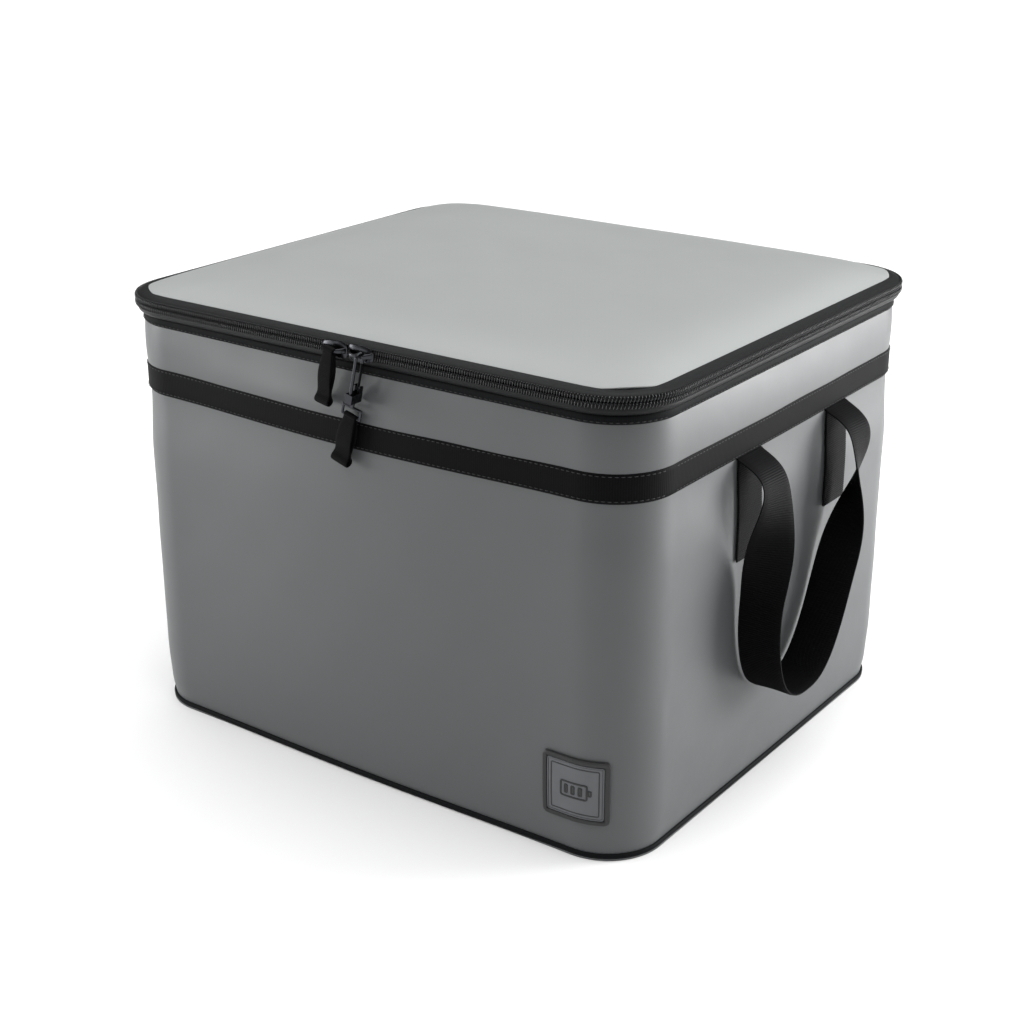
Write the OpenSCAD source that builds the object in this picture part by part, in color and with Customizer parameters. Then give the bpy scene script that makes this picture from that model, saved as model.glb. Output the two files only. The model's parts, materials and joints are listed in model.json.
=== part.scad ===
// Fire-resistant battery storage bag: a padded rectangular body with a zipped,
// back-hinged lid, two zip sliders, a snap hook and two webbing side handles.
// Millimetres. Origin at the centre of the base on the floor, front towards -Y, +Z up.

/* [Body] */
// Width of the body, side to side
body_w = 410; // [340:5:480]
// Depth of the body, front to back
body_d = 360; // [300:5:420]
// Radius of the upright corners
corner_r = 40; // [34:1:60]
// Height of the wall where the lower zip tape is sewn on
wall_h = 289.5; // [250:0.5:340]

/* [Fabric and padding] */
// Thickness of the coated outer fabric
skin_t = 1.2; // [0.8:0.1:2]
// Thickness of the fire-resistant foam
foam_t = 8; // [4:0.5:12]
// Thickness of the glass-fibre lining
lining_t = 0.8; // [0.5:0.1:1.5]
// Thickness of the stiffening board in the base
board_t = 2; // [1:0.5:4]
// Thickness of the foam in the base
base_foam_t = 5.5; // [3:0.5:9]

/* [Bands and bindings] */
// Height of the waist band's lower edge
band_z = 236; // [180:1:260]
// Width of the waist band
band_w = 19; // [12:1:30]
// Thickness of the bands and bindings
band_t = 1.2; // [0.8:0.1:2]
// Height of the base binding
base_binding_h = 6; // [4:0.5:10]
// Height of the binding under the zip
collar_binding_h = 5.4; // [3:0.2:8]

/* [Zip] */
// Distance the zip stands out from the wall
zip_out = 5.4; // [5:0.1:6]
// Radius of each row of coil
coil_r = 1.2; // [1:0.05:1.3]
// Height of the closed zip's middle line above the wall's top
zip_rise = 8.7; // [8.5:0.1:9.5]
// Length of a slider
slider_l = 19.6; // [18:0.2:24]
// Radius of the bar that a pull hangs from
bar_r = 0.9; // [0.7:0.05:1]

/* [Lid] */
// Height of the crown above its edge
crown_h = 12; // [6:1:20]
// Thickness of the lid's foam
lid_foam_t = 9.4; // [6:0.2:9.6]

/* [Handles] */
// Width of the handle webbing
webbing_w = 30; // [20:1:40]
// Thickness of the handle webbing
webbing_t = 1.8; // [1.2:0.1:2.4]
// Half of the distance between the two legs of a handle
handle_half = 59; // [50:1:62]
// Depth that a handle hangs to
handle_drop = 167; // [120:1:190]

/* [Snap hook] */
// Sideways lean of the hanging snap hook, in degrees
hook_lean = 13; // [0:1:15]
// Radius of the snap hook's wire
wire_r = 1; // [0.8:0.05:1.1]
// Width of the pull webbing
pull_w = 10; // [8:0.5:11]

/* [Badge] */
// Side of the square badge
badge_w = 44; // [30:1:50]
// Distance of the badge's lower edge above the floor
badge_z = 26; // [15:1:60]
// Distance of the badge's left edge from the middle
badge_x = 145; // [100:1:150]

/* [Hidden] */

gap = 0.1;              // between layers that are sewn or glued together
clear = 0.4;            // between the sliders and the zip
half_x = body_w / 2 - corner_r;
half_y = body_d / 2 - corner_r;
r = corner_r;
arc_fn = 96;

// Heights
board_z = skin_t + gap;
base_foam_z = board_z + board_t + gap;
floor_z = base_foam_z + base_foam_t + gap;
seam_z = band_z + band_w / 2;
zip_z = wall_h + zip_rise;
coil_gap = 0.7;         // from the zip's middle line to each row of coil
lower_coil_z = zip_z - coil_gap - coil_r;
upper_coil_z = zip_z + coil_gap + coil_r;
lid_edge_z = zip_z + 7;
lid_under_z = zip_z - 5.2;

// Depths into the wall, from its outer face
foam_in = skin_t + gap;
lining_in = foam_in + foam_t + gap;
tape_t = 0.8;

// Sliders and what hangs from them
slider_z0 = zip_z - 5.6;
slider_z1 = zip_z + 5.4;
plate_t = 1.3;
front_plate = zip_out + coil_r + clear;
back_plate = zip_out - coil_r - clear - plate_t;
bar_out = 13;
bar_y = -(body_d / 2 + bar_out);
slider_left_x = -17;
slider_right_x = 3.6;
pull_x = slider_left_x + slider_l / 2 + 0.2;
hook_x = 17.5;
pull_lean = 7;

// A profile carried round the body: x is the distance from the corner's centre and
// y is the height. Runs are numbered 0 right, 1 back, 2 left and 3 front.
module around(runs = [0, 1, 2, 3]) {
    for (k = runs) {
        a = k % 2 == 0 ? half_x : half_y;
        b = k % 2 == 0 ? half_y : half_x;
        rotate([0, 0, 90 * k]) translate([a, b, 0]) rotate([90, 0, 0])
            linear_extrude(2 * b) children();
    }
    for (k = [0:3])
        translate([(k == 0 || k == 3 ? 1 : -1) * half_x, (k < 2 ? 1 : -1) * half_y, 0])
            rotate([0, 0, 90 * k]) rotate_extrude(angle = 90, $fn = arc_fn) children();
}

// A flat profile block from depth d0 to d1 outside the wall's face, height z0 to z1
module strip(d0, d1, z0, z1) {
    translate([r + d0, z0]) square([d1 - d0, z1 - z0]);
}

// A level sheet with the body's outline, inset from the wall's face
module sheet(inset, z0, t, fn = arc_fn) {
    rr = r - inset;
    translate([0, 0, z0]) linear_extrude(t) union() {
        square([2 * half_x, 2 * (half_y + rr)], center = true);
        square([2 * (half_x + rr), 2 * half_y], center = true);
        for (sx = [-1, 1], sy = [-1, 1])
            translate([sx * half_x, sy * half_y]) circle(rr, $fn = fn);
    }
}

// Base ------------------------------------------------------------------------
module base_panel() { color("#3a3b3d") sheet(0, 0, skin_t); }
module base_board() { color("#8a7a5c") sheet(foam_in, board_z, board_t); }
module base_foam() { color("#5c5f63") sheet(foam_in, base_foam_z, base_foam_t); }
module floor_lining() { color("#b9bcbf") sheet(lining_in + lining_t + gap, floor_z, lining_t); }
module base_binding() { color("#1c1d1f") around() strip(gap, gap + band_t, 0, base_binding_h); }

// Walls -----------------------------------------------------------------------
module main_wall() { color("#74767a") around() strip(-skin_t, 0, board_z, seam_z); }
module collar_wall() { color("#74767a") around() strip(-skin_t, 0, seam_z + gap, wall_h); }
module waist_band() { color("#26272a") around() strip(gap, gap + band_t, band_z, band_z + band_w); }
module wall_foam() { color("#5c5f63") around() strip(-foam_in - foam_t, -foam_in, floor_z, wall_h); }
module wall_lining() {
    color("#b9bcbf") around() strip(-lining_in - lining_t, -lining_in, floor_z + lining_t + gap, wall_h);
}
module collar_binding() {
    color("#1c1d1f") around() strip(gap, gap + band_t * 0.8, wall_h - collar_binding_h, wall_h);
}
module mouth_binding() {
    color("#1c1d1f") around() strip(-lining_in - lining_t, -foam_in, wall_h + gap, wall_h + gap + tape_t);
}

// Zip -------------------------------------------------------------------------
// The lower tape leaves the wall's top, slopes out and stands up to height top_z
module lower_tape_profile(top_z) {
    z0 = wall_h + gap;
    out = r + zip_out + tape_t / 2;
    polygon([[r - skin_t, z0], [r + 0.2, z0], [out, z0 + 2.5], [out, top_z],
             [out - tape_t, top_z], [out - tape_t, z0 + 3.1], [r - 0.2, z0 + tape_t],
             [r - skin_t, z0 + tape_t]]);
}
// The upper tape stands on height low_z and rolls inwards over the lid's edge
module upper_tape_profile(low_z) {
    out = r + zip_out + tape_t / 2;
    polygon([[out, low_z], [out, zip_z + 4], [r + 3.5, zip_z + 5.6], [r - 3, zip_z + 7.1],
             [r - 3, zip_z + 6.3], [r + 3.2, zip_z + 4.8], [out - tape_t, zip_z + 3.6],
             [out - tape_t, low_z]]);
}
module coil_profile(z) { translate([r + zip_out, z]) circle(coil_r, $fn = 24); }

module lower_zip_tape() {
    color("#202124") around([0, 2, 3]) lower_tape_profile(lower_coil_z - coil_r - 0.05);
}
module lower_zip_coil() { color("#3c3e42") around([0, 2, 3]) coil_profile(lower_coil_z); }
module upper_zip_tape() {
    color("#202124") around([0, 2, 3]) upper_tape_profile(upper_coil_z + coil_r + 0.05);
}
module upper_zip_coil() { color("#3c3e42") around([0, 2, 3]) coil_profile(upper_coil_z); }

// The fabric hinge is the zip tape carried on across the back, in two halves
module back_run() {
    rotate([0, 0, 90]) translate([half_y, half_x - 0.5, 0]) rotate([90, 0, 0])
        linear_extrude(2 * half_x - 1) children();
}
module hinge_tape_lower() { color("#202124") back_run() lower_tape_profile(zip_z - 0.3); }
module hinge_tape_upper() { color("#202124") back_run() upper_tape_profile(zip_z + 0.3); }

// Lid -------------------------------------------------------------------------
// The crown is a stack of level outlines: depth in from the wall and share of its height
crown = [[3.2, 0], [10, 0.13], [20, 0.3], [40, 0.54], [65, 0.75], [100, 0.92], [140, 1]];
module crown_body(drop, extra) {
    hull() for (p = crown) translate([0, 0, lid_edge_z + p[1] * crown_h - drop])
        linear_extrude(0.01) for (sx = [-1, 1], sy = [-1, 1])
            translate([sx * (half_x - max(0, p[0] + extra - r + 8)),
                       sy * (half_y - max(0, p[0] + extra - r + 8))])
                circle(max(8, r - p[0] - extra), $fn = 32);
}
module lid_panel() {
    color("#bdc0be") difference() {
        crown_body(0, 0);
        crown_body(skin_t, skin_t);
    }
}
module lid_foam() { color("#5c5f63") sheet(8, lid_under_z + lining_t + gap, lid_foam_t); }
module lid_lining() { color("#b9bcbf") sheet(8, lid_under_z, lining_t); }
module lid_edge_binding() {
    color("#1c1d1f") around() strip(-7.9, -7.1, lid_under_z, lid_under_z + lining_t + gap + lid_foam_t);
}

// Badge: three squares of a ring round the body, wrapped on the start of the corner
module on_wall(x0, x1, z0, z1, d0, d1) {
    intersection() {
        around([3]) strip(d0, d1, z0, z1);
        translate([x0, -body_d / 2 - 10, z0 - 1]) cube([x1 - x0, corner_r, z1 - z0 + 2]);
    }
}
badge_rim = 3.5;
module badge_backing() {
    color("#232427") on_wall(badge_x, badge_x + badge_w, badge_z, badge_z + badge_w, gap, 1.1);
}
module badge_frame() {
    color("#151618") difference() {
        on_wall(badge_x, badge_x + badge_w, badge_z, badge_z + badge_w, 1.2, 2);
        translate([badge_x + badge_rim, -body_d / 2 - 10, badge_z + badge_rim])
            cube([badge_w - 2 * badge_rim, corner_r, badge_w - 2 * badge_rim]);
    }
}
module badge_face() {
    in = badge_rim + 0.2;
    color("#77797c") on_wall(badge_x + in, badge_x + badge_w - in,
                             badge_z + in, badge_z + badge_w - in, 1.2, 1.6);
}

// Handles ---------------------------------------------------------------------
// The webbing leaves the wall under the waist band, arches outwards, hangs as a deep U
// and turns through a quarter so that its width points away from the wall.
handle_top = band_z - 1;
handle_mid_y = 9;
handle_shift = -23;     // how far the foot of the loop hangs towards the front
handle_arch = 21;       // how far the webbing arches out
handle_tuck = 4.5;      // how much nearer the wall its foot hangs
pivot_h = 6;            // depth below the top where the webbing flexes
function ease(t) = let (c = min(1, max(0, t))) c * c * (3 - 2 * c);
function spow(v, p) = sign(v) * pow(abs(v), p);
function handle_x(h) = body_w / 2 + 1 + handle_arch * (1 - exp(-pow(max(0, h) / 8, 1.2)))
    - handle_tuck * ease((h - 30) / 90);
function handle_point(a) = let (h = handle_drop * spow(sin(a), 2 / 2.6))
    [handle_x(h), handle_mid_y - handle_half * spow(cos(a), 2 / 2.6) + handle_shift * ease(h / handle_drop),
     handle_top - h];
function unit(v) = v / norm(v);
function handle_along(a) = unit(handle_point(min(180, a + 0.4)) - handle_point(max(0, a - 0.4)));
// Turn of the webbing, from lying along the wall to pointing away from it
function handle_turn(a) = 90 * ease((handle_drop * spow(sin(a), 2 / 2.6) - 10) / 90);
// Width direction: along the wall towards the handle's middle at the ends, along +X at the foot
function handle_across(a) = let (t = handle_along(a), out = unit([1, 0, 0] - t * t[0]))
    -cross(t, out) * cos(handle_turn(a)) + out * sin(handle_turn(a));
function ring_of(a) = let (c = handle_point(a), w = handle_across(a) * webbing_w / 2,
    n = cross(handle_along(a), handle_across(a)) * webbing_t / 2) [c + w + n, c - w + n, c - w - n, c + w - n];
module webbing(a0, a1, count) {
    rings = [for (i = [0:count]) ring_of(a0 + (a1 - a0) * i / count)];
    points = [for (q = rings, p = q) p];
    sides = [for (i = [0:count - 1], j = [0:3]) let (a = 4 * i + j, b = 4 * i + (j + 1) % 4)
        each [[a, b, a + 4], [b, b + 4, a + 4]]];
    last = 4 * count;
    polyhedron(points, concat(sides, [[3, 2, 1, 0], [last, last + 1, last + 2, last + 3]]));
}
// The angle along the loop where the webbing is h below its top
function angle_at(h) = asin(pow(h / handle_drop, 1.3));
root_end = angle_at(pivot_h - 1.3);
loop_start = angle_at(pivot_h + 1.3);
module handle_root() {
    webbing(angle_at(0.05), root_end, 5);
    webbing(180 - root_end, 180 - angle_at(0.05), 5);
}
module handle_loop() { webbing(loop_start, 180 - loop_start, 64); }
module handle_root_right() { color("#1f2023") handle_root(); }
module handle_root_left() { color("#1f2023") mirror([1, 0, 0]) handle_root(); }
module handle_loop_right() { color("#1f2023") handle_loop(); }
module handle_loop_left() { color("#1f2023") mirror([1, 0, 0]) handle_loop(); }

// Sliders ---------------------------------------------------------------------
// Two plates either side of the coils, joined by a neck that runs between the rows,
// and a raised bridge whose round bar carries the pull
module slider(neck_at_end) {
    y_front = -(body_d / 2 + front_plate + plate_t);
    y_back = -(body_d / 2 + back_plate + plate_t);
    leg = 2.4;
    neck_w = 4;
    translate([0, y_front, slider_z0]) cube([slider_l, plate_t, slider_z1 - slider_z0]);
    translate([0, y_back, zip_z - 4.2]) cube([slider_l, plate_t, 7.8]);
    translate([neck_at_end ? slider_l - neck_w : 0, y_front, zip_z - 0.4])
        cube([neck_w, y_back - y_front + plate_t, 0.8]);
    for (x = [0, slider_l - leg])
        translate([x, bar_y - bar_r, zip_z - 1.3]) cube([leg, y_front - bar_y + bar_r + 0.1, 2.6]);
    translate([leg - 0.1, bar_y, zip_z]) rotate([0, 90, 0])
        cylinder(r = bar_r, h = slider_l - 2 * leg + 0.2, $fn = 32);
}
module slider_left() { color("#4a4c50") translate([slider_left_x, 0, 0]) slider(true); }
module slider_right() { color("#4a4c50") translate([slider_right_x, 0, 0]) slider(false); }

// A webbing pull: an eye round a bar, two plies and a stuffed end, all down from the bar
module pull(width, drop, eye_r, end_r) {
    ply = 2;
    wall = 0.9;
    translate([-width / 2, 0, 0]) rotate([0, 90, 0]) difference() {
        union() {
            cylinder(r = eye_r + wall, h = width, $fn = 40);
            translate([eye_r + wall / 2, -ply / 2, 0]) cube([drop - eye_r - end_r, ply, width]);
            translate([drop - end_r, 0, 0]) cylinder(r = end_r, h = width, $fn = 40);
        }
        translate([0, 0, -1]) cylinder(r = eye_r, h = width + 2, $fn = 40);
    }
}
module leaning(x, lean) { translate([x, bar_y, zip_z]) rotate([0, lean, 0]) children(); }
module pull_left() { color("#222326") leaning(pull_x, pull_lean) pull(pull_w, 36, 1.9, 2.8); }

// Snap hook ---------------------------------------------------------------------
// In its own frame the hook hangs down -Z from the slider's bar, in the YZ plane.
eye_back = 2.75;        // where the gate stands, behind the bar
ring_mean = 3.3;
ring_z = -0.8;
leg_r = wire_r + 0.05;
front_leg = eye_back - 2 * ring_mean;
gate_pin_z = -21.5;
block_z1 = -24;
block_z0 = -30;
pin_r = 0.7;
post_r = 1.2;
eye_bar_z = -40;
eye_half = 7;
module rod(z0, z1, rad) { translate([0, 0, z0]) cylinder(r = rad, h = z1 - z0, $fn = 32); }
module hook_frame() {
    color("#5a5c60") leaning(hook_x, hook_lean) difference() {
        union() {
            translate([0, eye_back - ring_mean, ring_z]) rotate([0, 0, 90]) rotate([90, 0, 0])
                rotate_extrude(angle = 180, $fn = 64) translate([ring_mean, 0]) circle(wire_r, $fn = 32);
            translate([0, front_leg, 0]) rod(block_z1 - 1, ring_z + 0.3, leg_r);
            translate([0, eye_back, 0]) rod(-4.6, ring_z + 0.3, leg_r);
            translate([-2.6, front_leg - 1.5, block_z0])
                cube([5.2, 2 * ring_mean + 3.2, block_z1 - block_z0]);
            for (x = [-2.6, 1.4])
                translate([x, eye_back - 1.5, block_z1 - 0.1]) cube([1.2, 3, 4.4]);
        }
        translate([0, 0, block_z0 - 1]) cylinder(r = post_r + 0.06, h = 5, $fn = 32);
        translate([-4, eye_back, gate_pin_z]) rotate([0, 90, 0]) cylinder(r = pin_r + 0.02, h = 8, $fn = 32);
    }
}
module hook_gate_pin() {
    color("#3a3b3e") leaning(hook_x, hook_lean) translate([-2.6, eye_back, gate_pin_z])
        rotate([0, 90, 0]) cylinder(r = pin_r, h = 5.2, $fn = 32);
}
module hook_gate() {
    color("#151618") leaning(hook_x, hook_lean) difference() {
        union() {
            translate([-1.1, eye_back, gate_pin_z]) rotate([0, 90, 0]) cylinder(r = 1.5, h = 2.2, $fn = 32);
            translate([0, eye_back, 0]) rod(gate_pin_z + 1, -5, 0.8);
        }
        translate([-2, eye_back, gate_pin_z]) rotate([0, 90, 0]) cylinder(r = pin_r + 0.05, h = 4, $fn = 32);
    }
}
module hook_eye() {
    color("#5a5c60") leaning(hook_x, hook_lean) union() {
        rod(eye_bar_z + 6, block_z0 + 3.8, post_r);
        for (z = [eye_bar_z, eye_bar_z + 6])
            translate([-eye_half, 0, z]) rotate([0, 90, 0]) cylinder(r = 0.9, h = 2 * eye_half, $fn = 32);
        for (x = [-eye_half, eye_half]) translate([x, 0, 0]) rod(eye_bar_z, eye_bar_z + 6, 0.9);
        for (x = [-eye_half, eye_half], z = [eye_bar_z, eye_bar_z + 6])
            translate([x, 0, z]) sphere(0.9, $fn = 32);
    }
}
module hook_tab() {
    color("#222326") leaning(hook_x, hook_lean) translate([0, 0, eye_bar_z])
        pull(pull_w + 2, 34, 1.1, 3);
}

base_panel();
base_binding();
base_board();
base_foam();
floor_lining();
main_wall();
collar_wall();
waist_band();
collar_binding();
wall_foam();
wall_lining();
mouth_binding();
lower_zip_tape();
lower_zip_coil();
hinge_tape_lower();
badge_backing();
badge_frame();
badge_face();
handle_root_right();
handle_root_left();
handle_loop_right();
handle_loop_left();
lid_panel();
lid_foam();
lid_lining();
lid_edge_binding();
upper_zip_tape();
upper_zip_coil();
hinge_tape_upper();
slider_left();
slider_right();
pull_left();
hook_frame();
hook_gate();
hook_gate_pin();
hook_eye();
hook_tab();
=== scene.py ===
"""Looks of a fire-resistant battery bag, built round the CAD frame."""

import json
import math

import bmesh
import bpy
import numpy as np
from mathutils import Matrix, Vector


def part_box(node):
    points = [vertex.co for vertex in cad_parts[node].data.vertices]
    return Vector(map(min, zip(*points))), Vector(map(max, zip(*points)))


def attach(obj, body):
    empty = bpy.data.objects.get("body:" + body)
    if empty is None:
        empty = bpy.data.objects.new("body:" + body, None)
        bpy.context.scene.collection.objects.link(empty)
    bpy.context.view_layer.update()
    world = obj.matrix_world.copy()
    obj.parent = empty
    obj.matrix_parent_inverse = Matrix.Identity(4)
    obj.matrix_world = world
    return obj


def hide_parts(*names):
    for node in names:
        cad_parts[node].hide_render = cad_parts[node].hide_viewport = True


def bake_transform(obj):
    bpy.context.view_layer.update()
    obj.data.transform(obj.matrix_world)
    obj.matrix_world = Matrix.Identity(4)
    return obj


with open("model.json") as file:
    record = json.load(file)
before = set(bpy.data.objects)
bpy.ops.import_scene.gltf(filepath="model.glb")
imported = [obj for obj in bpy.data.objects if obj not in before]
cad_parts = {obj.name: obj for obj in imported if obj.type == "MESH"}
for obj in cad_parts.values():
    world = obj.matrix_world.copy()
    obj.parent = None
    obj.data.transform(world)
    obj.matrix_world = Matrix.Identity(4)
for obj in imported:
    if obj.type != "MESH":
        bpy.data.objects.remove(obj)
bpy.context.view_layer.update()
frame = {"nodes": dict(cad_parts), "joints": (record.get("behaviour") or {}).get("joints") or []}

bl_info = {
    "name": "Battery Bag Looks",
    "version": (1, 0, 0),
    "blender": (4, 5, 0),
    "location": "View3D > Sidebar > Battery Bag",
    "description": "Builds the sewn parts, zip, pulls and studio of a padded battery bag",
    "category": "Object",
}

MM = 0.001


def node_box(name):
    """A CAD node's lowest and highest corners in millimetres."""
    low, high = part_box(name)
    return np.array(low) / MM, np.array(high) / MM


WALL_HIGH = node_box("main_wall")[1]
BAND_LOW, BAND_HIGH = node_box("waist_band")
WALL_TOP = node_box("collar_wall")[1][2]
COIL_LOW = node_box("lower_zip_coil")
COIL_HIGH = node_box("upper_zip_coil")
HALF_W = WALL_HIGH[0]
HALF_D = WALL_HIGH[1]
BAND_Z0 = BAND_LOW[2]
BAND_Z1 = BAND_HIGH[2]
ZIP_Z = (COIL_LOW[1][2] + COIL_HIGH[0][2]) / 2
COIL_R = (COIL_LOW[1][2] - COIL_LOW[0][2]) / 2
ZIP_OUT = COIL_LOW[1][0] - HALF_W - COIL_R
JOINTS = {joint["name"]: joint for joint in frame["joints"]}


def joint_place(name):
    """A joint's pivot point in millimetres."""
    return np.array(JOINTS[name]["pos_m"]) / MM


# Thickness of the coated outer fabric and height of its tuck under the wall, millimetres.
FABRIC_THICK = 1.2
TUCK_HEIGHT = 14.0


# Sizes and colours a user would change ------------------------------------------------
def length(name, description, default_mm):
    """A length property whose default is given in millimetres."""
    return bpy.props.FloatProperty(name=name, description=description, default=default_mm * MM,
                                   min=0.0, unit="LENGTH", subtype="DISTANCE")


def colour(name, description, default):
    """A colour property held as an sRGB hex value."""
    return bpy.props.StringProperty(name=name, description=description, default=default)


class BagSizes(bpy.types.PropertyGroup):
    """Sizes a user would change"""
    corner: length("Corner radius", "Radius of the upright corners", 40)
    front_bow: length("Front bow", "How far the front and back walls swell outwards", 7)
    side_bow: length("Side bow", "How far the side walls swell outwards", 1)
    crown: length("Crown", "Rise of the lid above its edge", 14)
    crown_run: length("Crown run", "Distance over which the lid's edge rounds off", 21)
    coil_pitch: length("Coil pitch", "Distance from one zip tooth to the next", 1.8)
    rib_pitch: length("Rib pitch", "Distance from one rib of the webbing to the next", 1.5)
    webbing: length("Webbing width", "Width of the handle webbing", 30)
    webbing_thick: length("Webbing thickness", "Thickness of the handle webbing", 1.8)
    quilt: length("Quilting", "Side of the lining's quilted squares", 45)


class BagColours(bpy.types.PropertyGroup):
    """Colours a user would change"""
    fabric: colour("Coated fabric", "Grey coated outer fabric", "#505253")
    # The lid is the same grey coated fabric as the walls; its much lighter colour is painted top
    # light.
    lid: colour("Lid fabric", "Coated fabric of the lid", "#9B9E9D")
    webbing: colour("Webbing", "Black ribbed webbing", "#050506")
    tape: colour("Tape", "Black woven tape and binding", "#0A0B0C")
    coil: colour("Coil", "Black nylon zip coil and thread", "#121315")
    gunmetal: colour("Gunmetal", "Dark plated metal", "#3C3D40")
    lining: colour("Lining", "Silvery glass-fibre cloth", "#8F9294")
    foam: colour("Foam", "Charcoal padding", "#4A4D50")
    board: colour("Board", "Brown fibreboard", "#8A7350")
    rubber: colour("Rubber", "Black moulded rubber", "#0D0E0F")
    badge: colour("Badge face", "Grey moulded rubber", "#4C4E51")
    floor: colour("Floor", "White studio sweep", "#F4F4F4")


def sizes():
    """The sizes set in the panel."""
    return bpy.context.scene.bag_sizes


def mm(value):
    """Millimetres from metres."""
    return value / MM


# Outline and surfaces -----------------------------------------------------------------
class Outline:
    """Points round the body's plan, from the middle of the right side anticlockwise: a
    rounded rectangle as four straight runs and four quarter circles, with each point's
    outward normal, its distance along the path, and its bow in millimetres, which is the
    side's bow times (1 - q^2)^2, where q runs from -1 to 1 along a straight side. Without
    its back it is open across the straight run at the back."""

    def __init__(self, step=4.0, arc_step=3.0, back=True):
        radius = mm(sizes().corner)
        hx, hy = HALF_W - radius, HALF_D - radius
        arc_count = max(4, int(radius * math.pi / 2 / arc_step))
        points, normals, fronts, side_q, keep = [], [], [], [], []
        for k in range(4):
            turn = k * math.pi / 2
            c, s = math.cos(turn), math.sin(turn)
            away, half = (hy, hx) if k % 2 else (hx, hy)
            count = max(4, int(2 * half / step))
            along = np.linspace(-half, half, count, endpoint=False)
            local = np.stack([np.full(count, away + radius), along], 1)
            normal = np.tile([1.0, 0.0], (count, 1))
            angle = np.linspace(0, math.pi / 2, arc_count, endpoint=False)
            arc = np.stack([away + radius * np.cos(angle), half + radius * np.sin(angle)], 1)
            arc_normal = np.stack([np.cos(angle), np.sin(angle)], 1)
            both = np.concatenate([local, arc])
            both_normal = np.concatenate([normal, arc_normal])
            spin = np.array([[c, s], [-s, c]])
            points.append(both @ spin)
            normals.append(both_normal @ spin)
            side_q.append(np.concatenate([along / half, np.ones(arc_count)]))
            fronts.append(np.full(count + arc_count, k % 2 == 1))
            keep.append(np.concatenate([np.full(count, k != 1 or back), np.ones(arc_count, bool)]))
        self.place = np.concatenate(points)
        self.normal = np.concatenate(normals)
        q = np.concatenate(side_q)
        front = np.concatenate(fronts)
        amount = np.where(front, mm(sizes().front_bow), mm(sizes().side_bow))
        self.bow = amount * (1 - q * q) ** 2
        self.closed = back
        if not back:
            kept = np.concatenate(keep)
            start = int(np.flatnonzero(kept & ~np.roll(kept, 1))[0])
            order = np.roll(np.arange(len(kept)), -start)
            order = order[kept[order]]
            self.place = np.concatenate([self.place[order], [[HALF_W - radius, HALF_D]]])
            self.normal = np.concatenate([self.normal[order], [[0.0, 1.0]]])
            self.bow = np.concatenate([self.bow[order], [0.0]])
        self.along = arc_lengths(self.place, self.closed)

    def at(self, out, z, bow_share=0.0):
        """Points at distance out from the wall and height z, for every outline point: out
        and z may be arrays that run across the columns."""
        out = np.atleast_2d(out) + self.bow[:, None] * np.atleast_2d(bow_share)
        z = np.broadcast_to(np.atleast_2d(z), out.shape)
        flat = self.place[:, None, :] + self.normal[:, None, :] * out[..., None]
        return np.concatenate([flat, z[..., None]], 2)


def add_object(name, data):
    """A new object for a mesh, light or camera, linked to the scene."""
    obj = bpy.data.objects.new(name, data)
    bpy.context.scene.collection.objects.link(obj)
    return obj


def unit(vectors):
    """The vectors scaled to length 1."""
    return vectors / np.linalg.norm(vectors, axis=-1, keepdims=True)


def square_to(vectors, along):
    """The vectors less their part along a row of unit directions, scaled to length 1."""
    return unit(vectors - along * np.sum(vectors * along, axis=1)[:, None])


def right_of(step):
    """Unit normals to the right of a plane path, from its steps."""
    return unit(np.stack([step[:, 1], -step[:, 0]], 1))


def signed_power(value, power):
    """|value| raised to a power, with the value's own sign."""
    return np.sign(value) * np.abs(value) ** power


def finish_mesh(obj, closed, sharp=40):
    """Points a closed mesh's faces outwards and shades it smooth between sharp edges."""
    if closed:
        shape = bmesh.new()
        shape.from_mesh(obj.data)
        bmesh.ops.recalc_face_normals(shape, faces=shape.faces)
        shape.to_mesh(obj.data)
        shape.free()
    obj.data.shade_smooth()
    obj.data.set_sharp_from_angle(angle=math.radians(sharp))
    return obj


def grid_mesh(name, grid, wrap_u=False, wrap_v=False, along=None, across=None,
              caps=False, pole=None, sharp=40):
    """A surface from a grid of points in millimetres, indexed (u, v). It may close on
    itself along u or v, be capped at the ends of u, or run its last column into one pole
    point. along and across are the distances of the grid lines, kept as a UV map in
    metres, so that a woven pattern follows the surface."""
    nu, nv = grid.shape[:2]
    u = np.arange(nu if wrap_u else nu - 1)
    v = np.arange(nv if wrap_v else nv - 1)
    u, v = np.meshgrid(u, v, indexing="ij")
    u2, v2 = (u + 1) % nu, (v + 1) % nv
    quads = np.stack([u * nv + v, u2 * nv + v, u2 * nv + v2, u * nv + v2], -1).reshape(-1, 4)
    verts = grid.reshape(-1, 3)
    faces = quads.tolist()
    if caps:
        faces.append(list(range(nv)))
        faces.append(list(range((nu - 1) * nv, nu * nv))[::-1])
    if pole is not None:
        verts = np.concatenate([verts, [pole]])
        ring = np.arange(nu) * nv + nv - 1
        faces += [[int(ring[i]), int(ring[(i + 1) % nu]), len(verts) - 1] for i in range(nu)]
    mesh = bpy.data.meshes.new(name)
    mesh.from_pydata((verts * MM).tolist(), [], faces)
    if along is not None:
        across = np.arange(nv + 1.0) if across is None else across
        u_at, v_at = np.asarray(along) * MM, np.asarray(across) * MM
        corners_u = np.stack([u, u + 1, u + 1, u], -1).reshape(-1)
        corners_v = np.stack([v, v, v + 1, v + 1], -1).reshape(-1)
        corners_u = np.minimum(corners_u, len(u_at) - 1)
        corners_v = np.minimum(corners_v, len(v_at) - 1)
        uv = np.zeros((len(mesh.loops), 2), np.float32)
        uv[: len(corners_u), 0] = u_at[corners_u]
        uv[: len(corners_v), 1] = v_at[corners_v]
        layer = mesh.uv_layers.new(name="UVMap")
        layer.data.foreach_set("uv", uv.ravel())
    return finish_mesh(add_object(name, mesh), wrap_v or caps, sharp)


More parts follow.
